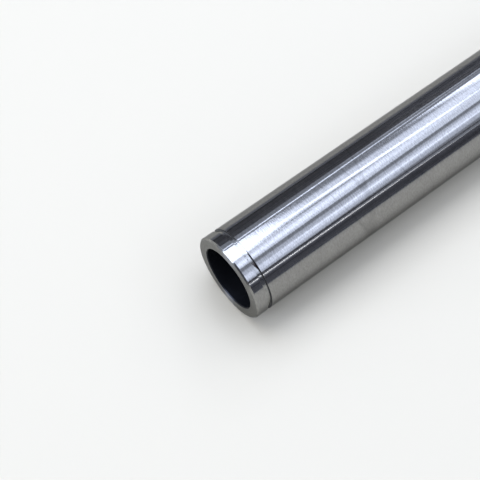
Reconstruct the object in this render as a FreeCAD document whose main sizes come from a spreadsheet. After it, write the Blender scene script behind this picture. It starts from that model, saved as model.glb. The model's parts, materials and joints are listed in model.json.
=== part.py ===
import FreeCAD, Part

import math
import os

import Sketcher

# A hollow kart axle, turned from one length of precision steel tube: ground outside, faced and
# chamfered at both ends, with a snap-ring groove near each end.
# The origin is on the axis at mid-length. The axle lies along Y, the line it turns about, Z is up.

NODE = "axle_tube"

# Name, value in millimetres, and what it is.
SIZES = [
    ("axle_length", 1000.0, "from end face to end face"),
    ("outer_diameter", 30.0, "ground, where bearings and hubs slide on"),
    ("wall_thickness", 4.0, "of the tube as drawn"),
    ("face_to_groove", 4.2, "from an end face to the groove's nearer wall"),
    ("groove_width", 1.6, "between the groove's walls, for a ring 1.5 thick"),
    ("groove_depth", 0.7, "from the ground outside to the groove's floor"),
    ("groove_root_radius", 0.1, "left along both sides of the floor by the tool's nose"),
    ("outer_chamfer", 0.5, "at 45 degrees, round the outer edge of each end"),
    ("bore_chamfer", 0.3, "at 45 degrees, where each mouth of the bore is deburred"),
    ("tool_run_out", 1.0, "how far the groove's outline stands clear of the outside"),
]

# The numbers by which a sketch's constraints name the points of a line, an arc or a circle.
START, END, CENTRE = 1, 2, 3
SKETCH_ORIGIN = (-1, START)

CLOSE = 1e-6
VOLUME_TOLERANCE = 1e-6


def make_sheet(doc):
    """The axle's sizes, a row for each, with its value in a cell that an alias names."""
    sheet = doc.addObject("Spreadsheet::Sheet", "Sizes")
    for row, (alias, value, note) in enumerate(SIZES, start=1):
        sheet.set(f"A{row}", alias)
        sheet.set(f"B{row}", str(value))
        sheet.setAlias(f"B{row}", alias)
        sheet.set(f"C{row}", note)
    doc.recompute()
    return sheet


def origin_plane(body, role):
    return next(feature for feature in body.Origin.OriginFeatures if feature.Role == role)


def add_sketch(body, name, role):
    """A sketch on one of the body's own origin planes."""
    sketch = body.newObject("Sketcher::SketchObject", name)
    sketch.AttachmentSupport = [(origin_plane(body, role), "")]
    sketch.MapMode = "FlatFace"
    return sketch


def drive(sketch, name, expression, kind, *terms):
    """Adds a dimension to a sketch, names it and ties it to an expression."""
    index = sketch.addConstraint(Sketcher.Constraint(kind, *terms))
    sketch.renameConstraint(index, name)
    sketch.setExpression(f"Constraints.{name}", expression)


def pad_tube(doc, body, sheet):
    """The tube: a ring drawn across the axis and padded evenly both ways along it."""
    ring = add_sketch(body, "TubeSection", "XZ_Plane")
    outside = sheet.outer_diameter
    bore = sheet.outer_diameter - 2 * sheet.wall_thickness
    circles = [
        ("outside", outside, "Sizes.outer_diameter"),
        ("bore", bore, "Sizes.outer_diameter - 2 * Sizes.wall_thickness"),
    ]
    for name, diameter, expression in circles:
        outline = Part.Circle(FreeCAD.Vector(), FreeCAD.Vector(0, 0, 1), diameter / 2)
        circle = ring.addGeometry(outline)
        ring.addConstraint(Sketcher.Constraint("Coincident", circle, CENTRE, *SKETCH_ORIGIN))
        drive(ring, name, expression, "Diameter", circle, diameter)
    tube = body.newObject("PartDesign::Pad", "Tube")
    tube.Profile = ring
    tube.SideType = "Symmetric"
    tube.setExpression("Length", "Sizes.axle_length")
    doc.recompute()


def draw_groove(body, sheet):
    """What the grooving tool takes away: straight walls, and a floor with rounded corners.
    Across the sketch is along the axle, and up it is out from the axis."""
    sketch = add_sketch(body, "GrooveSection", "YZ_Plane")
    near = sheet.axle_length / 2 - sheet.face_to_groove
    far = near - sheet.groove_width
    floor = sheet.outer_diameter / 2 - sheet.groove_depth
    top = sheet.outer_diameter / 2 + sheet.tool_run_out
    nose = sheet.groove_root_radius

    def line(start, end):
        return sketch.addGeometry(Part.LineSegment(FreeCAD.Vector(*start), FreeCAD.Vector(*end)))

    def quarter(centre, first_turn):
        corner = Part.Circle(FreeCAD.Vector(*centre), FreeCAD.Vector(0, 0, 1), nose)
        arc = Part.ArcOfCircle(corner, first_turn * math.pi / 2, (first_turn + 1) * math.pi / 2)
        return sketch.addGeometry(arc)

    mouth = line((far, top), (near, top))
    near_wall = line((near, top), (near, floor + nose))
    near_root = quarter((near - nose, floor + nose), 3)
    floor_line = line((near - nose, floor), (far + nose, floor))
    far_root = quarter((far + nose, floor + nose), 2)
    far_wall = line((far, floor + nose), (far, top))

    for kind, *terms in [
        ("Coincident", mouth, END, near_wall, START),
        ("Tangent", near_wall, END, near_root, END),
        ("Tangent", near_root, START, floor_line, START),
        ("Tangent", floor_line, END, far_root, END),
        ("Tangent", far_root, START, far_wall, START),
        ("Coincident", far_wall, END, mouth, START),
        ("Horizontal", mouth),
        ("Vertical", near_wall),
        ("Vertical", far_wall),
        ("Equal", near_root, far_root),
    ]:
        sketch.addConstraint(Sketcher.Constraint(kind, *terms))

    place = "Sizes.axle_length / 2 - Sizes.face_to_groove"
    drive(sketch, "place", place, "DistanceX", *SKETCH_ORIGIN, near_wall, START, near)
    width = sheet.groove_width
    drive(sketch, "width", "Sizes.groove_width", "DistanceX", far_wall, END, near_wall, START, width)
    depth = "Sizes.outer_diameter / 2 - Sizes.groove_depth"
    drive(sketch, "floor", depth, "DistanceY", *SKETCH_ORIGIN, floor_line, START, floor)
    clear = "Sizes.outer_diameter / 2 + Sizes.tool_run_out"
    drive(sketch, "clear", clear, "DistanceY", *SKETCH_ORIGIN, mouth, START, top)
    drive(sketch, "nose", "Sizes.groove_root_radius", "Radius", near_root, nose)
    return sketch


def turn_grooves(doc, body, sheet):
    """One snap-ring groove turned about the axis, and its mirror image at the other end."""
    outline = draw_groove(body, sheet)
    doc.recompute()
    groove = body.newObject("PartDesign::Groove", "SnapRingGroove")
    groove.Profile = outline
    groove.ReferenceAxis = (outline, ["H_Axis"])
    groove.Angle = 360
    doc.recompute()
    pair = body.newObject("PartDesign::Mirrored", "SnapRingGrooves")
    pair.Originals = [groove]
    pair.MirrorPlane = (origin_plane(body, "XZ_Plane"), [""])
    body.Tip = pair
    doc.recompute()
    return pair


def end_edges(shape, radius, length):
    """Names of the circular edges of that radius which bound the two end faces."""
    names = []
    for number, edge in enumerate(shape.Edges, start=1):
        if not isinstance(edge.Curve, Part.Circle):
            continue
        on_end = abs(abs(edge.Curve.Center.y) - length / 2) < CLOSE
        if on_end and abs(edge.Curve.Radius - radius) < CLOSE:
            names.append(f"Edge{number}")
    return names


def chamfer_ends(doc, body, base, name, radius, sheet, size):
    """A 45 degree chamfer on the edge of that radius at both ends."""
    chamfer = body.newObject("PartDesign::Chamfer", name)
    chamfer.Base = (base, end_edges(base.Shape, radius, sheet.axle_length))
    chamfer.setExpression("Size", f"Sizes.{size}")
    body.Tip = chamfer
    doc.recompute()
    return chamfer


def build_axle(doc, sheet):
    body = doc.addObject("PartDesign::Body", "Axle")
    body.Label = NODE
    pad_tube(doc, body, sheet)
    grooved = turn_grooves(doc, body, sheet)
    outer_radius = sheet.outer_diameter / 2
    bore_radius = outer_radius - sheet.wall_thickness
    eased = chamfer_ends(doc, body, grooved, "EndChamfers", outer_radius, sheet, "outer_chamfer")
    chamfer_ends(doc, body, eased, "BoreChamfers", bore_radius, sheet, "bore_chamfer")
    return body


def ring_volume(section, radius):
    """What a small section sweeps in one turn, with its centroid at that radius."""
    return section * 2 * math.pi * radius


def expected_volume(sheet):
    """The tube's volume less its two grooves and four chamfers, worked out from the sizes."""
    outer = sheet.outer_diameter / 2
    bore = outer - sheet.wall_thickness
    tube = math.pi * (outer**2 - bore**2) * sheet.axle_length

    nose = sheet.groove_root_radius
    floor = outer - sheet.groove_depth
    slot = ring_volume(sheet.groove_width * sheet.groove_depth, (outer + floor) / 2)
    corner_share = 1 - math.pi / 4
    corner_height = nose * (1 - 1 / (6 * corner_share))
    corners = 2 * ring_volume(corner_share * nose**2, floor + corner_height)
    groove = slot - corners

    leg, bore_leg = sheet.outer_chamfer, sheet.bore_chamfer
    outer_cut = ring_volume(leg**2 / 2, outer - leg / 3)
    bore_cut = ring_volume(bore_leg**2 / 2, bore + bore_leg / 3)
    return tube - 2 * (groove + outer_cut + bore_cut)


def check(doc, body, sheet):
    """Stops on a failed object, a broken solid, or a feature that cut nothing or too much."""
    for item in doc.Objects:
        if "Invalid" in item.State or "Error" in item.State:
            raise RuntimeError(f"{item.Name} failed: {item.State}")
    shape = body.Shape
    if shape.isNull() or not shape.isValid() or len(shape.Solids) != 1:
        raise RuntimeError(f"{body.Label} isn't one valid solid")
    expected = expected_volume(sheet)
    if abs(shape.Volume - expected) > VOLUME_TOLERANCE * expected:
        raise RuntimeError(f"{body.Label} has {shape.Volume} mm3, and {expected} was expected")
    print(f"{body.Label}: {shape.Volume:.1f} mm3, {len(shape.Faces)} faces")


def main():
    doc = FreeCAD.newDocument("KartAxle")
    sheet = make_sheet(doc)
    body = build_axle(doc, sheet)
    check(doc, body, sheet)
    os.makedirs("parts", exist_ok=True)
    body.Shape.exportStep(f"parts/{body.Label}.step")


main()
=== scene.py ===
"""A hollow kart axle, turned from ground steel tube, on a pale studio floor."""

import json
import math

import bpy
from bpy.props import FloatProperty, FloatVectorProperty, IntProperty, PointerProperty
from bpy.types import Operator, Panel, PropertyGroup
from mathutils import Matrix, Vector


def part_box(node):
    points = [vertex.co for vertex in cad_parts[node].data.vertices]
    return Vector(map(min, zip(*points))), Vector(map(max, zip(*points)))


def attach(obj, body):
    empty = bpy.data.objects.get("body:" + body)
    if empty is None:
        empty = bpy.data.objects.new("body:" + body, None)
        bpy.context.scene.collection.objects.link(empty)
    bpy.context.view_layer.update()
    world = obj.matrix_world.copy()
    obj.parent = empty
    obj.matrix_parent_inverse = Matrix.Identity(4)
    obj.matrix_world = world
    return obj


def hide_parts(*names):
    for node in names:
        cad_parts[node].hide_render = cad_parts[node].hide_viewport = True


bl_info = {
    "name": "Kart axle",
    "version": (1, 0, 0),
    "blender": (4, 5, 0),
    "location": "3D View > Sidebar > Kart axle",
    "description": "Turns a ground steel axle tube with ring grooves and lights it on a pale floor",
    "category": "Object",
}

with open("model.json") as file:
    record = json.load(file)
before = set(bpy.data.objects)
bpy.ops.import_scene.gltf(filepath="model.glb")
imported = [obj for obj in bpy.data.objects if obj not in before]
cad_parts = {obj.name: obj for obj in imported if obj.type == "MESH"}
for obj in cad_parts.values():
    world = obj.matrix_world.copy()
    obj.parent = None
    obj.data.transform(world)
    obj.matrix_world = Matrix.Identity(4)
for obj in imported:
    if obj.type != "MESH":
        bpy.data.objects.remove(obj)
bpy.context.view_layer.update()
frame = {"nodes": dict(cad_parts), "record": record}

MM = 0.001
PIECE = "axle_tube_turned"
NODE = "axle_tube"

# How close a place has to be to a surface to count as on it.
CLOSE = MM / 100


def mount(name):
    return next(entry for entry in frame["record"]["mounts"] if entry["name"] == name)


def end_face_radius():
    """The radius at which the outer chamfer meets the end face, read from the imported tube."""
    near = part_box(NODE)[0].y
    on_face = (v.co for v in frame["nodes"][NODE].data.vertices if abs(v.co.y - near) < CLOSE)
    return max(math.hypot(co.x, co.z) for co in on_face)


LOW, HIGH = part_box(NODE)
LENGTH = HIGH.y - LOW.y
OUTER_RADIUS = mount("journal")["dims"]["r_mm"] * MM
BORE_RADIUS = mount("bore")["dims"]["r_mm"] * MM
GROOVE_RADIUS = mount("ring_groove_right")["dims"]["r_mm"] * MM
GROOVE_WIDTH = mount("ring_groove_right")["dims"]["length_mm"] * MM
GROOVE_MIDDLE = mount("ring_groove_right")["pos_m"][1]
FACE_TO_GROOVE = LENGTH / 2 - abs(GROOVE_MIDDLE) - GROOVE_WIDTH / 2
OUTER_CHAMFER = OUTER_RADIUS - end_face_radius()
BORE_CHAMFER = (LENGTH - mount("bore")["dims"]["length_mm"] * MM) / 2


def size(name, default, description):
    """A length that the user can set, in metres."""
    return FloatProperty(
        name=name, description=description, default=default, min=0, precision=5, unit="LENGTH"
    )


def tint(name, default, description):
    return FloatVectorProperty(
        name=name, description=description, default=default, size=3, min=0, max=1, subtype="COLOR"
    )


def share(name, default, description):
    return FloatProperty(
        name=name, description=description, default=default, min=0, max=1, subtype="FACTOR"
    )


def level(name, default, description):
    return FloatProperty(name=name, description=description, default=default, min=0)


def turn(name, default, description):
    """An angle, whose default is given in degrees."""
    return FloatProperty(
        name=name, description=description, default=math.radians(default), subtype="ANGLE"
    )


class AxleSizes(PropertyGroup):
    """The turned tube's sizes."""

    length: size("Length", LENGTH, "From end face to end face")
    outer_radius: size("Outer radius", OUTER_RADIUS, "Of the ground outside")
    bore_radius: size("Bore radius", BORE_RADIUS, "Of the hole through the tube")
    face_to_groove: size("Face to groove", FACE_TO_GROOVE, "From an end face to its ring groove")
    groove_width: size("Groove width", GROOVE_WIDTH, "Between the groove's two walls")
    groove_radius: size("Groove radius", GROOVE_RADIUS, "Of the groove's floor")
    outer_chamfer: size("Outer chamfer", OUTER_CHAMFER, "Round the outer edge of each end")
    bore_chamfer: size("Bore chamfer", BORE_CHAMFER, "Round each mouth of the bore")
    root_radius: size("Root radius", 0.1 * MM, "Along both sides of the groove's floor")
    lip_round: size("Lip round", 0.06 * MM, "Where the groove's walls meet the outside")
    edge_break: size("Edge break", 0.05 * MM, "Left on the edges of the chamfers")
    span: size("Span", 12.5 * MM, "Longest face along the tube")
    sides: IntProperty(name="Sides", description="Faces round the tube", default=192, min=12)


class AxleFinish(PropertyGroup):
    """Colours and finishes of the ground outside, the turned ends and grooves, and the bore."""

    ground_colour: tint("Ground steel", (0.265, 0.263, 0.256), "Of the ground outside")
    turned_colour: tint("Turned steel", (0.275, 0.275, 0.265), "Of the end faces and grooves")
    # A painted highlight: lighter steel on the grooves' inner root near the top.
    root_highlight_colour: tint("Bare steel", (0.56, 0.56, 0.55), "Of the painted highlight on the groove's root")
    bore_colour: tint("Bore", (0.022, 0.024, 0.029), "Of the dark scale left in the bore")
    edge_tint: tint("Edge tint", (0.52, 0.52, 0.52), "Of the steel where it is seen edge on")
    # A painted shade: near black along the grooves' inner root.
    rust_colour: tint("Rust", (0.022, 0.011, 0.009), "Of the wedge and specks in the grooves")
    root_shade_colour: tint("Root shade", (0.006, 0.006, 0.008), "Of the painted shade along the grooves' inner root")
    ground_roughness: share("Ground roughness", 0.09, "Of the ground outside")
    turned_roughness: share("Turned roughness", 0.16, "Of the outer chamfers and the grooves")
    faced_roughness: share("Faced roughness", 0.3, "Of the end faces")
    bore_roughness: share("Bore roughness", 0.24, "Of the drawn inside")
    ground_grain: share("Ground grain", 0.6, "How much the grinding lines spread light across them")
    turned_grain: share("Turned grain", 0.95, "How much the turned rings spread light across them")
    grinding_spacing: size("Grinding spacing", 0.45 * MM, "Of the finer grinding lines")
    band_spacing: size("Band spacing", 4.5 * MM, "Of the broad faint bands that the wheel leaves")
    wave_spacing: size("Wave spacing", 4.0 * MM, "Of the waves in the wheel's patchier passes")
    score_spacing: size("Score spacing", 14.0 * MM, "Of the thin dark scores round the tube")
    chatter: size("Chatter", 0.006 * MM, "Depth of the ripples that the wheel leaves round the tube")
    turning_spacing: size("Turning spacing", 0.25 * MM, "Of the turned rings on the end faces")
    rust_angle: turn("Rust angle", 22, "Round the tube from the top to the rust in a groove")


class StudioSettings(PropertyGroup):
    """Camera, floor and light."""

    azimuth: turn("Azimuth", 52.47, "Of the camera, from looking along the axle")
    elevation: turn("Elevation", 61.33, "Of the camera above level")
    roll: turn("Roll", -0.57, "Of the camera about the way it looks")
    distance: size("Distance", 386.6 * MM, "From the camera to the point it looks at")
    lens: FloatProperty(name="Lens", description="Focal length", default=95.11, unit="CAMERA")
    floor_colour: tint("Floor", (0.62, 0.576, 0.465), "Of the pale floor")
    floor_size: size("Floor size", 60.0, "Along one side")
    room_colour: tint("Room", (0.74, 0.81, 1.0), "Of the light that fills the room")
    room_level: level("Room level", 0.76, "How bright the room is, where 1 is white")
    panel_tint: tint("Panel tint", (0.71, 0.785, 1.0), "Of the light of the panels overhead")
    fill_tint: tint("Fill tint", (0.98, 0.97, 1.0), "Of the light of the whiter boxes")
    flag_colour: tint("Flags", (0.15, 0.15, 0.165), "Of the dark cards beside the axle")


# Nodes: small helpers that every tree is built with.


def feed(tree, socket, value):
    """Links a socket to another, or sets its value."""
    if isinstance(value, bpy.types.NodeSocket):
        tree.links.new(value, socket)
    else:
        socket.default_value = value


def add(tree, kind, inputs=None, **settings):
    """A new node with its settings and its named or numbered inputs."""
    node = tree.nodes.new(kind)
    for name, value in settings.items():
        setattr(node, name, value)
    for key, value in (inputs or {}).items():
        feed(tree, node.inputs[key], value)
    return node


def calc(tree, operation, *terms):
    """What one Math node gives for these terms."""
    node = add(tree, "ShaderNodeMath", dict(enumerate(terms)), operation=operation)
    return node.outputs[0]


def choose(tree, index, data_type, items):
    """The item that an index picks."""
    node = tree.nodes.new("GeometryNodeIndexSwitch")
    node.data_type = data_type
    while len(node.index_switch_items) < len(items):
        node.index_switch_items.new()
    feed(tree, node.inputs["Index"], index)
    for number, item in enumerate(items):
        feed(tree, node.inputs[number + 1], item)
    return node.outputs[0]


def ramp(tree, value, low, high, first=0.0, last=1.0):
    """Runs from first to last while a value goes from low to high, and stays there past them."""
    ends = {"From Min": low, "From Max": high, "To Min": first, "To Max": last}
    return add(tree, "ShaderNodeMapRange", {"Value": value, **ends}).outputs[0]


def around(tree, pattern, middle, spread):
    """A pattern from 0 to 1 moved to lie about a middle, as far below it as above it."""
    return ramp(tree, pattern, 0.0, 1.0, middle - spread, middle + spread)


def mixed(tree, first, second, second_share):
    """Two patterns added up, of which the second has that share."""
    rest = calc(tree, "MULTIPLY", first, 1 - second_share)
    return calc(tree, "ADD", rest, calc(tree, "MULTIPLY", second, second_share))


def noise(tree, place, scale, detail=2.0, roughness=0.5):
    """A cloudy pattern about 0.5, which seldom comes near 0 or 1."""
    inputs = {"Vector": place, "Scale": scale, "Detail": detail, "Roughness": roughness}
    return add(tree, "ShaderNodeTexNoise", inputs).outputs["Fac"]


def stretched_mask(tree, pattern):
    """The middle of a noise, where most of it lies, stretched to run from 0 to 1."""
    return ramp(tree, pattern, 0.3, 0.7)


def crossing(tree, pattern, width, cover=1.0):
    """A thin line where a noise crosses its middle, with that cover along its centre."""
    off_centre = calc(tree, "ABSOLUTE", calc(tree, "SUBTRACT", pattern, 0.5))
    return ramp(tree, off_centre, 0.0, width, cover, 0.0)


def drawn_out(tree, place, factors):
    """A place with its parts multiplied. A small factor draws a pattern out along its part."""
    product = add(tree, "ShaderNodeVectorMath", {0: place, 1: factors}, operation="MULTIPLY")
    return product.outputs[0]


def about_axis(tree, place):
    """How far a place is from the axle's axis, and its parts across, along and up."""
    split = add(tree, "ShaderNodeSeparateXYZ", {"Vector": place})
    x, y, z = (split.outputs[axis] for axis in "XYZ")
    flat = add(tree, "ShaderNodeCombineXYZ", {"X": x, "Z": z})
    radius = add(tree, "ShaderNodeVectorMath", {0: flat.outputs[0]}, operation="LENGTH")
    return radius.outputs["Value"], x, y, z


def open_group(name, kind, inputs, outputs):
    """A node group with named sockets, and its input and output nodes."""
    tree = bpy.data.node_groups.new(name, kind)
    for label, socket_type in inputs:
        tree.interface.new_socket(label, in_out="INPUT", socket_type=socket_type)
    for label, socket_type in outputs:
        tree.interface.new_socket(label, in_out="OUTPUT", socket_type=socket_type)
    return tree, tree.nodes.new("NodeGroupInput").outputs, tree.nodes.new("NodeGroupOutput").inputs


# The turned tube.

NUMBER, WHOLE, MATERIAL = "NodeSocketFloat", "NodeSocketInt", "NodeSocketMaterial"
GEOMETRY, VECTOR = "NodeSocketGeometry", "NodeSocketVector"

# Each end of the section has six corners. The first two, at the bore's mouth and at the outer edge,
# are chamfered, and the others are rounded.
CORNERS = 6
CHAMFERED = 2

# How many points a round has, and how many the eased edge of a chamfer.
ROUND_POINTS = 4
EASED_POINTS = 3

# Edges that bend by more than this are shaded sharp.
SHARP = math.radians(5)


def section_corner(tree, given, corner):
    """Where a corner of the section lies, across from the outside and along the axle. The six
    corners of one end run from the bore's mouth out and round the groove."""
    half = calc(tree, "MULTIPLY", given["Length"], 0.5)
    lip = calc(tree, "SUBTRACT", half, given["Face to groove"])
    shoulder = calc(tree, "SUBTRACT", lip, given["Groove width"])
    bore = calc(tree, "SUBTRACT", given["Bore radius"], given["Outer radius"])
    floor = calc(tree, "SUBTRACT", given["Groove radius"], given["Outer radius"])
    across = choose(tree, corner, "FLOAT", [bore, 0.0, 0.0, floor, floor, 0.0])
    along = choose(tree, corner, "FLOAT", [half, half, lip, lip, shoulder, shoulder])
    return across, along


def draw_section(tree, given):
    """The section as a closed line of twelve sharp corners, six for each end. Each point keeps the
    number of its corner."""
    index = add(tree, "GeometryNodeInputIndex").outputs[0]
    last = 2 * CORNERS - 1
    corner = calc(tree, "MINIMUM", index, calc(tree, "SUBTRACT", last, index))
    far_end = calc(tree, "GREATER_THAN", index, CORNERS - 0.5)
    side = calc(tree, "SUBTRACT", calc(tree, "MULTIPLY", far_end, 2.0), 1.0)
    across, along = section_corner(tree, given, corner)
    place = add(tree, "ShaderNodeCombineXYZ", {"X": across, "Y": calc(tree, "MULTIPLY", along, side)})
    points = add(tree, "GeometryNodePoints", {"Count": 2 * CORNERS, "Position": place.outputs[0]})
    marked = add(
        tree,
        "GeometryNodeStoreNamedAttribute",
        {"Geometry": points.outputs[0], "Name": "corner", "Value": corner},
        data_type="FLOAT",
        domain="POINT",
    )
    line = add(tree, "GeometryNodePointsToCurves", {"Points": marked.outputs[0]})
    closed = add(tree, "GeometryNodeSetSplineCyclic", {"Geometry": line.outputs[0], "Cyclic": True})
    return closed.outputs[0]


def fillet(tree, line, points, radius):
    """Cuts each corner of a line with its own number of points and its own radius."""
    cut = add(
        tree,
        "GeometryNodeFilletCurve",
        {"Curve": line, "Count": points, "Radius": radius, "Limit Radius": True},
        mode="POLY",
    )
    return cut.outputs[0]


def cut_corners(tree, given, section):
    """Cuts the section's chamfers and rounds, and then eases the chamfers' own edges."""
    kept = add(tree, "GeometryNodeInputNamedAttribute", {"Name": "corner"}, data_type="FLOAT")
    corner = kept.outputs["Attribute"]
    lip_round, root = given["Lip round"], given["Root radius"]
    radii = [given["Bore chamfer"], given["Outer chamfer"], lip_round, root, root, lip_round]
    is_round = calc(tree, "GREATER_THAN", corner, CHAMFERED - 0.5)
    points = calc(tree, "ADD", calc(tree, "MULTIPLY", is_round, ROUND_POINTS - 1), 1.0)
    cut = fillet(tree, section, points, choose(tree, corner, "FLOAT", radii))
    is_chamfer = calc(tree, "SUBTRACT", 1.0, is_round)
    points = calc(tree, "ADD", calc(tree, "MULTIPLY", is_chamfer, EASED_POINTS - 1), 1.0)
    return fillet(tree, cut, points, calc(tree, "MULTIPLY", is_chamfer, given["Edge break"]))


def divide_lines(tree, given, section):
    """Divides the section's long lines, so that no face along the tube is longer than the span."""
    point = add(tree, "GeometryNodeInputIndex").outputs[0]
    onward = add(tree, "GeometryNodeOffsetPointInCurve", {"Point Index": point, "Offset": 1})
    position = add(tree, "GeometryNodeInputPosition").outputs[0]
    ahead = add(
        tree,
        "GeometryNodeFieldAtIndex",
        {"Index": onward.outputs["Point Index"], "Value": position},
        data_type="FLOAT_VECTOR",
        domain="POINT",
    )
    run = add(tree, "ShaderNodeVectorMath", {0: ahead.outputs[0], 1: position}, operation="DISTANCE")
    cuts = calc(tree, "FLOOR", calc(tree, "DIVIDE", run.outputs["Value"], given["Span"]))
    return add(tree, "GeometryNodeSubdivideCurve", {"Curve": section, "Cuts": cuts}).outputs[0]


def sweep_section(tree, given, section):
    """Sweeps the section round the axle's axis, and shades it smooth but for its sharp edges."""
    circle = add(
        tree,
        "GeometryNodeCurvePrimitiveCircle",
        {"Resolution": given["Sides"], "Radius": given["Outer radius"]},
    )
    swept = add(
        tree, "GeometryNodeCurveToMesh", {"Curve": circle.outputs[0], "Profile Curve": section}
    )
    level_axis = add(
        tree,
        "GeometryNodeTransform",
        {"Geometry": swept.outputs[0], "Rotation": (math.pi / 2, 0, 0)},
    )
    smooth = add(tree, "GeometryNodeSetShadeSmooth", {"Geometry": level_axis.outputs[0]})
    bend = add(tree, "GeometryNodeInputMeshEdgeAngle").outputs["Unsigned Angle"]
    creased = add(
        tree,
        "GeometryNodeSetShadeSmooth",
        {
            "Geometry": smooth.outputs[0],
            "Selection": calc(tree, "GREATER_THAN", bend, SHARP),
            "Shade Smooth": False,
        },
        domain="EDGE",
    )
    return creased.outputs[0]


def give_finishes(tree, given, tube):
    """Gives the outside its finish, and then what is turned, the end faces and the bore theirs."""
    radius, _, along, _ = about_axis(tree, add(tree, "GeometryNodeInputPosition").outputs[0])
    outside = calc(tree, "SUBTRACT", given["Outer radius"], CLOSE)
    face = calc(tree, "SUBTRACT", calc(tree, "MULTIPLY", given["Length"], 0.5), CLOSE)
    mouth = calc(tree, "ADD", given["Bore radius"], given["Bore chamfer"])
    chosen = {
        "Ground": True,
        "Turned": calc(tree, "LESS_THAN", radius, outside),
        "Faced": calc(tree, "GREATER_THAN", calc(tree, "ABSOLUTE", along), face),
        "Bore": calc(tree, "LESS_THAN", radius, mouth),
    }
    finished = add(tree, "GeometryNodeRealizeInstances", {"Geometry": tube})
    for finish, where in chosen.items():
        finished = add(
            tree,
            "GeometryNodeSetMaterial",
            {"Geometry": finished.outputs[0], "Selection": where, "Material": given[finish]},
        )
    return finished.outputs[0]


def socket_label(name):
    return name.replace("_", " ").capitalize()


def tube_tree():
    """The node tree that turns the tube: its section is drawn, cut, divided and swept, and each
    part gets its finish."""
    sizes = AxleSizes.__annotations__
    inputs = [(socket_label(name), WHOLE if name == "sides" else NUMBER) for name in sizes]
    inputs += [(finish, MATERIAL) for finish in ("Ground", "Turned", "Faced", "Bore")]
    tree, given, result = open_group(
        "Turned axle tube", "GeometryNodeTree", inputs, [("Mesh", GEOMETRY)]
    )
    section = cut_corners(tree, given, draw_section(tree, given))
    tube = sweep_section(tree, given, divide_lines(tree, given, section))
    feed(tree, result["Mesh"], give_finishes(tree, given, tube))
    return tree


def set_modifier_inputs(modifier, values):
    """Sets a nodes modifier's inputs, each found by its label and set by its identifier."""
    sockets = [item for item in modifier.node_group.interface.items_tree if item.in_out == "INPUT"]
    for socket in sockets:
        modifier[socket.identifier] = values[socket.name]


def turn_tube(sizes, materials):
    """The finished tube, as a plain mesh free of its modifier."""
    blank = bpy.data.meshes.new(PIECE)
    tube = bpy.data.objects.new(PIECE, blank)
    bpy.context.scene.collection.objects.link(tube)
    modifier = tube.modifiers.new("Turning", "NODES")
    modifier.node_group = tube_tree()
    values = {socket_label(name): getattr(sizes, name) for name in AxleSizes.__annotations__}
    set_modifier_inputs(modifier, {**values, **materials})
    depsgraph = bpy.context.evaluated_depsgraph_get()
    mesh = bpy.data.meshes.new_from_object(tube.evaluated_get(depsgraph))
    tube.modifiers.remove(modifier)
    tube.data = mesh
    mesh.name = PIECE
    bpy.data.meshes.remove(blank)
    return tube


# Effects that the finishes share.

# What draws a pattern out into streaks along the axle.
ALONG_AXLE = (1.0, 0.12, 1.0)

# How wide a scratch is in the noise that it follows, how much finer than the haze the noise is that
# says where scratches show, and the levels of that noise from which they start and are full.
SCRATCH_WIDTH = 0.006
SCRATCHED_FINENESS = 3.0
SCRATCHED_LEVELS = (0.56, 0.66)

# The painted highlight on the groove's inner root, near the top where the brightest reflection
# crosses the groove: its middle, how far it reaches to both sides, and how softly it ends.
HIGHLIGHT_MIDDLE = math.radians(-1)
HIGHLIGHT_REACH = math.radians(11)
HIGHLIGHT_SOFTNESS = math.radians(2)

# Painted shade along the inner wall's root: how fine its patches are, how far from the wall it can
# reach, as a share of the groove's width, and how much it covers.
PATCH_SCALE = 420.0
ROOT_SHADE_REACH = 0.45
ROOT_SHADE_COVER = 0.9

# How far from the inner wall the painted highlight has faded out, and up to where it is full, as
# shares of the groove's width.
HIGHLIGHT_FADE = (0.3, 0.2)

# The wedge of rust: how far round a groove it runs, from its broad end to its tip, then its breadth
# at the broad end, how ragged it is and how soft its edge is, as shares of the groove's width.
RUST_RUN = math.radians(15)
RUST_BREADTH = 0.9
RUST_RAGGED = 0.4
RUST_EDGE = 0.12

# As shares of the wedge's run, between which places its broad end fades in, and from where on the
# rust is at its thickest. Then how thick it is at the broad end, against that.
RUST_START = (-0.08, 0.04)
RUST_THICK_FROM = 0.4
RUST_THIN = 0.55

# Specks of rust: how fine they are, the levels of their noise from which they start and are full,
# and how thick they are.
SPECK_SCALE = 1400.0
SPECK_LEVELS = (0.66, 0.72)
SPECK_COVER = 0.7


def tool_marks_group():
    """Fine rings left by a wheel or tool. They follow the turned surface: along the tube on its
    outside, and out from the axis on its ends. Drift says how soon they change round the tube."""
    tree, given, result = open_group(
        "Tool marks",
        "ShaderNodeTree",
        [("Vector", VECTOR), ("Spacing", NUMBER), ("Drift", NUMBER), ("Detail", NUMBER)],
        [("Lines", NUMBER)],
    )
    radius, x, y, z = about_axis(tree, given["Vector"])
    pattern = add(
        tree,
        "ShaderNodeCombineXYZ",
        {
            "X": calc(tree, "MULTIPLY", x, given["Drift"]),
            "Y": calc(tree, "DIVIDE", calc(tree, "SUBTRACT", radius, y), given["Spacing"]),
            "Z": calc(tree, "MULTIPLY", z, given["Drift"]),
        },
    )
    lines = noise(tree, pattern.outputs[0], 1.0, given["Detail"], roughness=0.65)
    feed(tree, result["Lines"], lines)
    return tree


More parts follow.
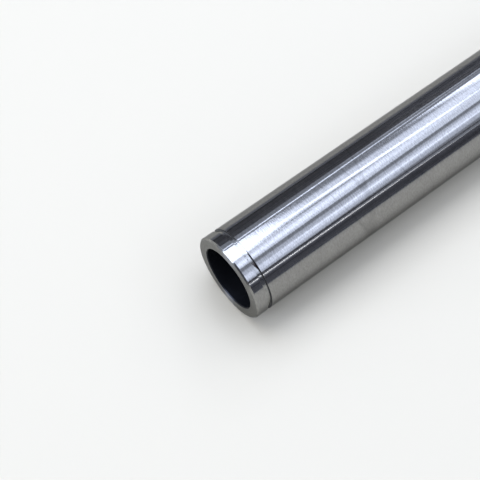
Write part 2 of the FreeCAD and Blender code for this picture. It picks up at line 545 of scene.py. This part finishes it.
def handling_group():
    """Faint haze and fine scratches from oil, cloths and bearings slid along the tube."""
    tree, given, result = open_group(
        "Handling marks",
        "ShaderNodeTree",
        [("Vector", VECTOR), ("Haze scale", NUMBER), ("Scratch scale", NUMBER)],
        [("Haze", NUMBER), ("Scratches", NUMBER)],
    )
    place = given["Vector"]
    feed(tree, result["Haze"], noise(tree, place, given["Haze scale"], detail=4.0))
    veins = noise(tree, drawn_out(tree, place, ALONG_AXLE), given["Scratch scale"])
    scratches = crossing(tree, veins, SCRATCH_WIDTH)
    finer = calc(tree, "MULTIPLY", given["Haze scale"], SCRATCHED_FINENESS)
    scratched = ramp(tree, noise(tree, place, finer), *SCRATCHED_LEVELS)
    feed(tree, result["Scratches"], calc(tree, "MULTIPLY", scratches, scratched))
    return tree


def groove_rust(tree, place, run, patches, across):
    """Rust in a groove: a wedge that lies against the inner wall and narrows along its run, and
    fine specks. Across is how far a place is from that wall, as a share of the groove's width."""
    breadth = calc(tree, "MULTIPLY", calc(tree, "SUBTRACT", 1.0, run), RUST_BREADTH)
    ragged = calc(tree, "MULTIPLY", calc(tree, "SUBTRACT", 0.5, patches), RUST_RAGGED)
    inside = calc(tree, "SUBTRACT", calc(tree, "ADD", breadth, ragged), across)
    wedge = ramp(tree, inside, 0.0, RUST_EDGE)
    thickness = ramp(tree, run, 0.0, RUST_THICK_FROM, RUST_THIN, 1.0)
    started = ramp(tree, run, *RUST_START)
    wedge = calc(tree, "MULTIPLY", calc(tree, "MULTIPLY", wedge, thickness), started)
    specks = ramp(tree, noise(tree, place, SPECK_SCALE), *SPECK_LEVELS)
    return calc(tree, "MAXIMUM", wedge, calc(tree, "MULTIPLY", specks, SPECK_COVER))


def rust_and_painted_light_group(sizes):
    """Painted shade along the inner root of each ring groove, a painted highlight of lighter steel on
    that root near the top where the shade is left out, and rust."""
    tree, given, result = open_group(
        "Groove rust and painted light",
        "ShaderNodeTree",
        [("Vector", VECTOR), ("Rust angle", NUMBER)],
        [("Root shade", NUMBER), ("Rust", NUMBER), ("Root highlight", NUMBER)],
    )
    place, width = given["Vector"], sizes.groove_width
    radius, x, y, z = about_axis(tree, place)
    from_end = calc(tree, "SUBTRACT", sizes.length / 2, calc(tree, "ABSOLUTE", y))
    inner_wall = sizes.face_to_groove + width
    from_wall = calc(tree, "ABSOLUTE", calc(tree, "SUBTRACT", inner_wall, from_end))
    in_groove = calc(
        tree,
        "MULTIPLY",
        calc(tree, "LESS_THAN", from_wall, width),
        calc(tree, "LESS_THAN", radius, sizes.outer_radius - sizes.lip_round),
    )
    angle = calc(tree, "ARCTAN2", x, z)
    # How far round from the painted highlight's middle, and the part of the groove outside it.
    from_highlight = calc(tree, "ABSOLUTE", calc(tree, "SUBTRACT", angle, HIGHLIGHT_MIDDLE))
    outside_highlight = ramp(tree, from_highlight, HIGHLIGHT_REACH - HIGHLIGHT_SOFTNESS, HIGHLIGHT_REACH + HIGHLIGHT_SOFTNESS)
    patches = noise(tree, place, PATCH_SCALE)

    # Painted shade: the inner root darkens in patches that reach out from the wall, except at the
    # painted highlight.
    reach = calc(tree, "MULTIPLY", patches, width * ROOT_SHADE_REACH)
    root_shade = calc(tree, "MULTIPLY", ramp(tree, from_wall, reach, 0.0, 0.0, ROOT_SHADE_COVER), outside_highlight)
    # Painted highlight: lighter steel at the inner wall near the top, where the painted shade is left
    # out.
    fade_out, full = HIGHLIGHT_FADE
    at_wall = ramp(tree, from_wall, width * fade_out, width * full)
    root_highlight = calc(tree, "MULTIPLY", at_wall, calc(tree, "SUBTRACT", 1.0, outside_highlight))
    run = calc(tree, "DIVIDE", calc(tree, "SUBTRACT", angle, given["Rust angle"]), RUST_RUN)
    rust = groove_rust(tree, place, run, patches, calc(tree, "DIVIDE", from_wall, width))
    for name, overlay in [("Root shade", root_shade), ("Rust", rust), ("Root highlight", root_highlight)]:
        feed(tree, result[name], calc(tree, "MULTIPLY", overlay, in_groove))
    return tree


# Finishes.

# How much darker and lighter than its own colour each finish gets along its marks, as a share.
GROUND_SHADES = 0.18
TURNED_SHADES = 0.32
BORE_SHADES = 0.3

# How far each finish's roughness goes below and above its own.
GROUND_UNEVENNESS = 0.02
TURNED_UNEVENNESS = 0.04
BORE_UNEVENNESS = 0.1

# What haze adds to the roughness of the ground steel, and rust and the painted shade to that of the
# turned steel.
HAZE_ROUGHNESS = 0.02
RUST_AND_SHADE_ROUGHNESS = 0.4

# The broad bands' share in the tone of the ground steel, and the haze's in that of the turned.
BAND_SHARE = 0.08
HAZE_SHARE = 0.5

# The thin scores: how wide they are in their noise, how much they cover, and how dark they are
# against the steel.
SCORE_WIDTH = 0.012
SCORE_COVER = 0.55
SCORE_TONE = 0.5

# How high the waves stand and how deep the scratches are cut, as shares of the chatter.
WAVE_HEIGHT = 0.8
SCRATCH_DEPTH = 0.2

# How deep the turned rings are, and the hollows in the bore's scale.
RING_DEPTH = 0.004 * MM
BORE_DEPTH = 0.02 * MM

# How metallic the bore's scale is, and how dark it is edge on, against the steel's own edge tint.
BORE_METALLIC = 0.65
BORE_EDGE_TONE = 0.5

# A quarter turn, which spreads reflections across the tool marks and not along them.
ACROSS_MARKS = 0.25


def start_material(name):
    """A material with its shader and its object coordinates."""
    material = bpy.data.materials.new(name)
    material.use_nodes = True
    tree = material.node_tree
    tree.nodes.clear()
    shader = tree.nodes.new("ShaderNodeBsdfPrincipled")
    output = tree.nodes.new("ShaderNodeOutputMaterial")
    tree.links.new(shader.outputs[0], output.inputs["Surface"])
    coordinates = tree.nodes.new("ShaderNodeTexCoord").outputs["Object"]
    return material, tree, shader, coordinates


def use_group(tree, group, inputs):
    """What a group gives in a material, with its own values."""
    return add(tree, "ShaderNodeGroup", inputs, node_tree=group).outputs


def tool_lines(tree, marks, place, spacing, drift, detail):
    values = {"Vector": place, "Spacing": spacing, "Drift": drift, "Detail": detail}
    return use_group(tree, marks, values)["Lines"]


def opaque(colour):
    return (*colour, 1.0)


def scaled(colour, factor):
    return tuple(channel * factor for channel in colour)


def blend_colour(tree, amount, first, second):
    """From the first colour at 0 to the second at 1."""
    mix = add(tree, "ShaderNodeMix", {0: amount, 6: first, 7: second}, data_type="RGBA")
    return mix.outputs[2]


def shades(tree, pattern, colour, spread):
    """A colour that a pattern makes darker and lighter by up to that share."""
    dark, light = (opaque(scaled(colour, factor)) for factor in (1 - spread, 1 + spread))
    return blend_colour(tree, pattern, dark, light)


def set_steel(tree, shader, finish, grain):
    """Plain metal that spreads reflections across its tool marks, which run round the axis."""
    shader.inputs["Metallic"].default_value = 1.0
    shader.inputs["Specular Tint"].default_value = opaque(finish.edge_tint)
    shader.inputs["Anisotropic"].default_value = grain
    shader.inputs["Anisotropic Rotation"].default_value = ACROSS_MARKS
    tangent = add(tree, "ShaderNodeTangent", direction_type="RADIAL", axis="Y")
    feed(tree, shader.inputs["Tangent"], tangent.outputs[0])


def set_relief(tree, shader, height, depth):
    """Bumps of that depth, which are finer than the mesh."""
    bump = add(tree, "ShaderNodeBump", {"Height": height, "Strength": 1.0, "Distance": depth})
    feed(tree, shader.inputs["Normal"], bump.outputs[0])


def ground_steel(finish, marks, handling):
    """Bright steel off the grinder: fine rings, faint broad bands, a few thin dark scores, a light
    chatter round the tube, a little haze and a few light scratches."""
    material, tree, shader, place = start_material("ground_steel")
    set_steel(tree, shader, finish, finish.ground_grain)
    # For each kind of mark its spacing, how soon it changes round the tube, and its detail.
    lines, bands, ripples, waves, scores = (
        tool_lines(tree, marks, place, *kind)
        for kind in [
            (finish.grinding_spacing, 900.0, 3.0),
            (finish.band_spacing, 40.0, 1.0),
            (finish.grinding_spacing, 800.0, 1.0),
            (finish.wave_spacing, 300.0, 0.0),
            (finish.score_spacing, 15.0, 0.0),
        ]
    )
    wear = use_group(
        tree, handling, {"Vector": place, "Haze scale": 30.0, "Scratch scale": 160.0}
    )
    in_haze = stretched_mask(tree, wear["Haze"])

    tone = mixed(tree, stretched_mask(tree, lines), stretched_mask(tree, bands), BAND_SHARE)
    clean = shades(tree, tone, finish.ground_colour, GROUND_SHADES)
    scored = crossing(tree, scores, SCORE_WIDTH, SCORE_COVER)
    scored = calc(tree, "MULTIPLY", scored, in_haze)
    dark = opaque(scaled(finish.ground_colour, SCORE_TONE))
    feed(tree, shader.inputs["Base Color"], blend_colour(tree, scored, clean, dark))

    uneven = around(tree, lines, finish.ground_roughness, GROUND_UNEVENNESS)
    hazed = calc(tree, "MULTIPLY", wear["Haze"], HAZE_ROUGHNESS)
    feed(tree, shader.inputs["Roughness"], calc(tree, "ADD", uneven, hazed))

    waves = calc(tree, "MULTIPLY", calc(tree, "MULTIPLY", waves, in_haze), WAVE_HEIGHT)
    cuts = calc(tree, "MULTIPLY", wear["Scratches"], SCRATCH_DEPTH)
    height = calc(tree, "SUBTRACT", calc(tree, "ADD", ripples, waves), cuts)
    set_relief(tree, shader, height, finish.chatter)
    return material


def turned_steel(name, roughness, finish, marks, handling, rust_and_painted_light):
    """Steel as the lathe leaves it, with even rings, a little rust deep in the grooves, and painted
    shade and a painted highlight on their inner root."""
    material, tree, shader, place = start_material(name)
    set_steel(tree, shader, finish, finish.turned_grain)
    lines = tool_lines(tree, marks, place, finish.turning_spacing, drift=40.0, detail=2.0)
    wear = use_group(
        tree, handling, {"Vector": place, "Haze scale": 600.0, "Scratch scale": 400.0}
    )
    haze = stretched_mask(tree, wear["Haze"])
    tone = mixed(tree, stretched_mask(tree, lines), haze, HAZE_SHARE)
    colour = shades(tree, tone, finish.turned_colour, TURNED_SHADES)
    # Rust, and the painted shade and painted highlight of the grooves' inner root, laid over the
    # steel's colour.
    overlay = use_group(tree, rust_and_painted_light, {"Vector": place, "Rust angle": finish.rust_angle})
    for cover, overlay_colour in [
        ("Root highlight", finish.root_highlight_colour),
        ("Rust", finish.rust_colour),
        ("Root shade", finish.root_shade_colour),
    ]:
        colour = blend_colour(tree, overlay[cover], colour, opaque(overlay_colour))
    feed(tree, shader.inputs["Base Color"], colour)

    # Rust and the painted shade make the steel less metallic and rougher.
    dulled = calc(tree, "MAXIMUM", overlay["Rust"], overlay["Root shade"])
    feed(tree, shader.inputs["Metallic"], calc(tree, "SUBTRACT", 1.0, dulled))
    uneven = around(tree, lines, roughness, TURNED_UNEVENNESS)
    dulled = calc(tree, "MULTIPLY", dulled, RUST_AND_SHADE_ROUGHNESS)
    feed(tree, shader.inputs["Roughness"], calc(tree, "ADD", uneven, dulled))
    set_relief(tree, shader, lines, RING_DEPTH)
    return material


def drawn_bore(finish, handling):
    """The inside as the tube was drawn: uneven dark scale."""
    material, tree, shader, place = start_material("drawn_bore")
    shader.inputs["Metallic"].default_value = BORE_METALLIC
    edge_tint = scaled(finish.edge_tint, BORE_EDGE_TONE)
    shader.inputs["Specular Tint"].default_value = opaque(edge_tint)
    haze = use_group(
        tree, handling, {"Vector": place, "Haze scale": 140.0, "Scratch scale": 250.0}
    )["Haze"]
    colour = shades(tree, haze, finish.bore_colour, BORE_SHADES)
    feed(tree, shader.inputs["Base Color"], colour)
    rough = around(tree, haze, finish.bore_roughness, BORE_UNEVENNESS)
    feed(tree, shader.inputs["Roughness"], rough)
    set_relief(tree, shader, haze, BORE_DEPTH)
    return material


# The studio. Angles of lamps and flags are measured in degrees round the axle from straight up,
# positive towards +X, and places along it in metres from its middle.

# The darker patches of the floor, against its own colour.
FLOOR_MOTTLE = 0.985


def floor_material(colour):
    material, tree, shader, place = start_material("studio_floor")
    dark = opaque(scaled(colour, FLOOR_MOTTLE))
    tone = blend_colour(tree, noise(tree, place, scale=3.0), dark, opaque(colour))
    feed(tree, shader.inputs["Base Color"], tone)
    shader.inputs["Roughness"].default_value = 0.9
    shader.inputs["Specular IOR Level"].default_value = 0.2
    return material


def lay_floor(studio):
    """A pale floor that the axle lies on."""
    half = studio.floor_size / 2
    corners = [(-half, -half), (half, -half), (half, half), (-half, half)]
    mesh = bpy.data.meshes.new("studio_floor")
    mesh.from_pydata([(x, y, -OUTER_RADIUS) for x, y in corners], [], [(0, 1, 2, 3)])
    mesh.materials.append(floor_material(studio.floor_colour))
    floor = bpy.data.objects.new("studio_floor", mesh)
    bpy.context.scene.collection.objects.link(floor)


def fill_room(studio):
    world = bpy.data.worlds.new("studio_room")
    world.use_nodes = True
    background = world.node_tree.nodes["Background"]
    background.inputs["Color"].default_value = opaque(studio.room_colour)
    background.inputs["Strength"].default_value = studio.room_level
    bpy.context.scene.world = world


# How far from the axis the boxes hang.
PANEL_REACH = 1.4

# Soft boxes over the axle, and long thin lamps. Name, its angle at its start and at its end, its
# width as an angle, its start and end along the axle, how bright it is, where 1 shows white, and
# what shares of its width and of its length fade out towards its two sides and its two ends.
PANELS = [
    ("window", -20.7, -20.7, 36.5, -0.75, 0.02, 6.2, (0.05, 0.05), (0.05, 0.12)),
    ("ceiling", -22, -13, 28.5, -0.08, 0.80, 2.15, (0.38, 0.17), (0.10, 0.05)),
    ("far_glow", -20, -20, 22, 0.22, 0.85, 0.8, (0.20, 0.20), (0.20, 0.05)),
    ("tube_lamp", -20.0, -4.6, 5.5, -0.10, 0.40, 5.8, (0.45, 0.20), (0.50, 0.25)),
    ("far_window", -32.5, -41, 19, 0.33, 0.85, 5.6, (0.05, 0.25), (0.10, 0.05)),
    ("top_box", 11.5, -0.3, 25, -0.45, 0.80, 2.1, (0.12, 0.10), (0.10, 0.10)),
    ("top_core", 15, -7, 16, -0.25, 0.50, 1.6, (0.40, 0.35), (0.10, 0.60)),
    ("side_glow", 46.4, 30.6, 30.5, -0.45, 0.80, 1.15, (0.12, 0.10), (0.10, 0.10)),
    ("side_core", 51.1, 25.8, 17, -0.40, 0.75, 1.35, (0.30, 0.30), (0.10, 0.10)),
    ("side_line", 38.5, 38, 4.5, -0.06, 0.80, 1.3, (0.30, 0.30), (0.10, 0.10)),
    ("left_strip", -42.0, -50.5, 3.2, -0.20, 0.45, 4.6, (0.30, 0.30), (0.05, 0.55)),
    ("edge_strip", -56.5, -56.5, 3.0, 0.08, 0.80, 1.3, (0.30, 0.30), (0.15, 0.10)),
]

# Boxes of whiter light, given in the same way. The strip stands beside the axle. The front box
# hangs before the near end and the back fill beyond the far end.
FILLS = [
    ("side_strip", 60.8, 65.6, 0.9, -0.45, 0.40, 6.6, (0.15, 0.15), (0.10, 0.45)),
    ("front_box", -20.7, -20.7, 36.5, -1.40, -0.80, 3.5, (0.05, 0.05), (0.10, 0.10)),
    ("back_fill", 0, 0, 44, 0.85, 1.60, 1.2, (0.10, 0.10), (0.10, 0.10)),
]

# A box before the near end, given in the same way, which lights only what mirrors it. The inner lip
# of the near groove does.
LIP_BOX = ("lip_box", -28, -28, 52, -2.40, -0.80, 3.0, (0.05, 0.05), (0.10, 0.10))

# The window low before the near end, which the outer chamfer mirrors. Its direction from the end,
# round from straight before it, and its width, both as angles, its foot and top, and its light.
LOW_WINDOW = (-22, 25, 0.08, 0.80, 6.5)

# How wide, as an angle, and how long the streaks in a box's cloth are, and how far they change its
# light.
STREAK_ANGLE = 0.9
STREAK_LENGTH = 0.14
STREAK_DEPTH = 0.55


def fading(tree, place, shares):
    """From 0 at both edges to 1 where these shares of the way across are passed."""
    rise, fall = (
        add(
            tree,
            "ShaderNodeMapRange",
            {"Value": from_edge, "From Max": share_faded},
            interpolation_type="SMOOTHSTEP",
        )
        for from_edge, share_faded in zip((place, calc(tree, "SUBTRACT", 1.0, place)), shares)
    )
    return calc(tree, "MULTIPLY", rise.outputs[0], fall.outputs[0])


def panel_width(spread):
    """The width that fills an angle at the boxes' reach."""
    return 2 * PANEL_REACH * math.tan(math.radians(spread) / 2)


def new_panel(name, width, length, brightness, colour):
    """A rectangular lamp out of the camera's sight. Its power is what its size needs to show that
    brightness all over."""
    lamp = bpy.data.lights.new(name, "AREA")
    lamp.shape = "RECTANGLE"
    lamp.size = width
    lamp.size_y = length
    lamp.energy = brightness * math.pi * width * length
    lamp.color = colour
    holder = bpy.data.objects.new(name, lamp)
    holder.visible_camera = False
    bpy.context.scene.collection.objects.link(holder)
    return holder, lamp


def hang_panel(panel, colour):
    """A soft box that faces the axle and fills its angles as seen from it."""
    name, first, last, spread, start, end, brightness, soft_sides, soft_ends = panel
    middle = math.radians((first + last) / 2)
    lean = math.atan2(PANEL_REACH * math.tan(math.radians(last - first)), end - start)
    width = panel_width(spread) * math.cos(lean)
    holder, lamp = new_panel(name, width, (end - start) / math.cos(lean), brightness, colour)
    lamp.use_nodes = True
    tree = lamp.node_tree
    across = add(tree, "ShaderNodeNewGeometry").outputs["Parametric"]
    split = add(tree, "ShaderNodeSeparateXYZ", {"Vector": across})
    faded = calc(
        tree,
        "MULTIPLY",
        fading(tree, split.outputs["X"], soft_sides),
        fading(tree, split.outputs["Y"], soft_ends),
    )
    cells = (spread / STREAK_ANGLE, (end - start) / STREAK_LENGTH, 0.0)
    streaks = noise(tree, drawn_out(tree, across, cells), 1.0, detail=3.0)
    strength = calc(tree, "MULTIPLY", faded, around(tree, streaks, 1.0, STREAK_DEPTH))
    feed(tree, tree.nodes["Emission"].inputs["Strength"], strength)
    towards = Vector((math.sin(middle), 0, math.cos(middle)))
    holder.location = PANEL_REACH * towards + Vector((0, (start + end) / 2, 0))
    facing = Matrix.Rotation(middle, 3, "Y") @ Matrix.Rotation(-lean, 3, "Z")
    holder.rotation_euler = facing.to_euler()
    return holder


def before_end(angle, height):
    """A place at the boxes' reach before the near end, at an angle round from straight before."""
    turned = math.radians(angle)
    return Vector((PANEL_REACH * math.sin(turned), LOW.y - PANEL_REACH * math.cos(turned), height))


def stand_window(studio):
    """The low window, upright and turned to the near end."""
    angle, spread, foot, top, brightness = LOW_WINDOW
    width = panel_width(spread)
    holder, _ = new_panel("low_window", width, top - foot, brightness, studio.panel_tint)
    holder.location = before_end(angle, (foot + top) / 2)
    outward = before_end(angle, 0) - Vector((0, LOW.y, 0))
    holder.rotation_euler = outward.to_track_quat("Z", "Y").to_euler()


# How far from the axis the cards beside the axle stand, and how high over the floor one is laid.
FLAG_REACH = 0.9
FLOOR_GAP = 0.1 * MM

# Dark cards that give the metal its dark edges, which only reflections see. Name, first and last
# angle, start and end along the axle, how light the card is against the others, and what shares of
# its width its two sides fade out over. The last one lies on the floor at the foot of the left one.
FLAGS = [
    ("flag_left", -90.9, -55.6, -1.2, -0.03, 1.05, (0.01, 0.06)),
    ("flag_left_low", -90.9, -72, -0.03, 1.4, 1.3, (0.01, 0.30)),
    ("flag_left_high", -78, -56.6, -0.03, 1.4, 1.7, (0.30, 0.12)),
    ("flag_right", 65.3, 90.9, -1.2, 1.4, 0.9, (0.06, 0.20)),
    ("flag_between", 54.0, 60.3, -1.2, -0.05, 1.1, (0.20, 0.05)),
    ("flag_between_far", 54.8, 60.3, -0.05, 1.4, 1.7, (0.30, 0.05)),
    ("flag_foot", -101, -90.95, -0.6, 1.4, 1.1, (0.99, 0.01)),
]

# The card before the near end, beside the low window: from where to where round from straight
# before the end, how high it stands, and how light it is.
FRONT_FLAG = (-9.5, 88, 0.55, 0.8)

# How fine the streaks in a card's cloth are, and how much darker and lighter they are.
CLOTH_SCALE = 24.0
CLOTH_SHADES = 0.55


def side_flag_corners(first, last, start, end):
    """At the flags' reach, or where the floor is met before that."""
    corners = []
    for angle, along in [(first, start), (last, start), (last, end), (first, end)]:
        turned = math.radians(angle)
        drop = -math.cos(turned)
        reach = min(FLAG_REACH, (OUTER_RADIUS - FLOOR_GAP) / drop) if drop > 0 else FLAG_REACH
        corners.append((reach * math.sin(turned), along, reach * math.cos(turned)))
    return corners


def set_flag(name, corners, lightness, studio):
    """A card of dark cloth with faint streaks along the axle. Its node tree, shader and coordinates
    come back, so that its edges can be softened."""
    mesh = bpy.data.meshes.new(name)
    mesh.from_pydata(corners, [], [(0, 1, 2, 3)])
    material, tree, shader, place = start_material(name)
    streaks = stretched_mask(tree, noise(tree, drawn_out(tree, place, ALONG_AXLE), CLOTH_SCALE))
    cloth = shades(tree, streaks, scaled(studio.flag_colour, lightness), CLOTH_SHADES)
    feed(tree, shader.inputs["Base Color"], cloth)
    shader.inputs["Roughness"].default_value = 1.0
    shader.inputs["Specular IOR Level"].default_value = 0.0
    mesh.materials.append(material)
    flag = bpy.data.objects.new(name, mesh)
    flag.visible_camera = False
    flag.visible_diffuse = False
    flag.visible_shadow = False
    bpy.context.scene.collection.objects.link(flag)
    return tree, shader, place


def set_side_flag(row, studio):
    """A card along the axle, whose two sides fade by the angle round it."""
    name, first, last, start, end, lightness, soft_sides = row
    corners = side_flag_corners(first, last, start, end)
    tree, shader, place = set_flag(name, corners, lightness, studio)
    split = add(tree, "ShaderNodeSeparateXYZ", {"Vector": place})
    angle = calc(tree, "ARCTAN2", split.outputs["X"], split.outputs["Z"])
    past = calc(tree, "SUBTRACT", angle, math.radians(first))
    across = calc(tree, "DIVIDE", past, math.radians(last - first))
    feed(tree, shader.inputs["Alpha"], fading(tree, across, soft_sides))


def set_front_flag(studio):
    """The card before the near end, which stands on the floor."""
    first, last, height, lightness = FRONT_FLAG
    feet = [before_end(angle, -OUTER_RADIUS) for angle in (first, last)]
    heads = [before_end(angle, height) for angle in (last, first)]
    set_flag("flag_front", feet + heads, lightness, studio)


# The point the camera looks at, on top of the near end.
AIM = Vector((-2.13 * MM, LOW.y + 6.49 * MM, OUTER_RADIUS))


def set_camera(studio):
    lens = bpy.data.cameras.new("camera")
    lens.lens = studio.lens
    camera = bpy.data.objects.new("camera", lens)
    level_part = math.cos(studio.elevation)
    back = Vector(
        (
            math.sin(studio.azimuth) * level_part,
            -math.cos(studio.azimuth) * level_part,
            math.sin(studio.elevation),
        )
    )
    camera.location = AIM + studio.distance * back
    upright = back.to_track_quat("Z", "Y").to_matrix()
    camera.rotation_euler = (upright @ Matrix.Rotation(studio.roll, 3, "Z")).to_euler()
    bpy.context.scene.collection.objects.link(camera)
    bpy.context.scene.camera = camera


class AXLE_OT_turn_tube(Operator):
    """Turns the axle tube, gives it its four finishes and puts it in place of the plain one"""

    bl_idname = "kart_axle.turn_tube"
    bl_label = "Turn axle tube"

    def execute(self, context):
        sizes = context.scene.axle_sizes
        finish = context.scene.axle_finish
        marks = tool_marks_group()
        handling = handling_group()
        turned = (finish, marks, handling, rust_and_painted_light_group(sizes))
        materials = {
            "Ground": ground_steel(finish, marks, handling),
            "Turned": turned_steel("turned_steel", finish.turned_roughness, *turned),
            "Faced": turned_steel("faced_steel", finish.faced_roughness, *turned),
            "Bore": drawn_bore(finish, handling),
        }
        tube = turn_tube(sizes, materials)
        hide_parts(NODE)
        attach(tube, "root")
        return {"FINISHED"}


class AXLE_OT_set_stage(Operator):
    """Lays the floor, fills the room with light, hangs the panels and flags and sets the camera"""

    bl_idname = "kart_axle.set_stage"
    bl_label = "Set stage"

    def execute(self, context):
        studio = context.scene.axle_studio
        lay_floor(studio)
        fill_room(studio)
        for panel in PANELS:
            hang_panel(panel, studio.panel_tint)
        for panel in FILLS:
            hang_panel(panel, studio.fill_tint)
        lip_box = hang_panel(LIP_BOX, studio.panel_tint)
        lip_box.visible_diffuse = False
        stand_window(studio)
        for row in FLAGS:
            set_side_flag(row, studio)
        set_front_flag(studio)
        set_camera(studio)
        context.scene.view_settings.view_transform = "Standard"
        return {"FINISHED"}


OPERATORS = (AXLE_OT_turn_tube, AXLE_OT_set_stage)


class AXLE_PT_panel(Panel):
    """The axle's sizes, finishes and studio"""

    bl_idname = "AXLE_PT_panel"
    bl_label = "Kart axle"
    bl_space_type = "VIEW_3D"
    bl_region_type = "UI"
    bl_category = "Kart axle"

    def draw(self, context):
        layout = self.layout
        for group in GROUPS:
            settings = getattr(context.scene, group)
            box = layout.box()
            for name in settings.__annotations__:
                box.prop(settings, name)
        for operator in OPERATORS:
            layout.operator(operator.bl_idname)


GROUPS = {"axle_sizes": AxleSizes, "axle_finish": AxleFinish, "axle_studio": StudioSettings}


def register():
    for group in GROUPS.values():
        bpy.utils.register_class(group)
    for item in (*OPERATORS, AXLE_PT_panel):
        bpy.utils.register_class(item)
    for name, group in GROUPS.items():
        setattr(bpy.types.Scene, name, PointerProperty(type=group))


def unregister():
    for name in GROUPS:
        delattr(bpy.types.Scene, name)
    for item in (AXLE_PT_panel, *reversed(OPERATORS)):
        bpy.utils.unregister_class(item)
    for group in reversed(GROUPS.values()):
        bpy.utils.unregister_class(group)


def main():
    register()
    bpy.ops.kart_axle.turn_tube()
    bpy.ops.kart_axle.set_stage()


if __name__ == "__main__":
    main()
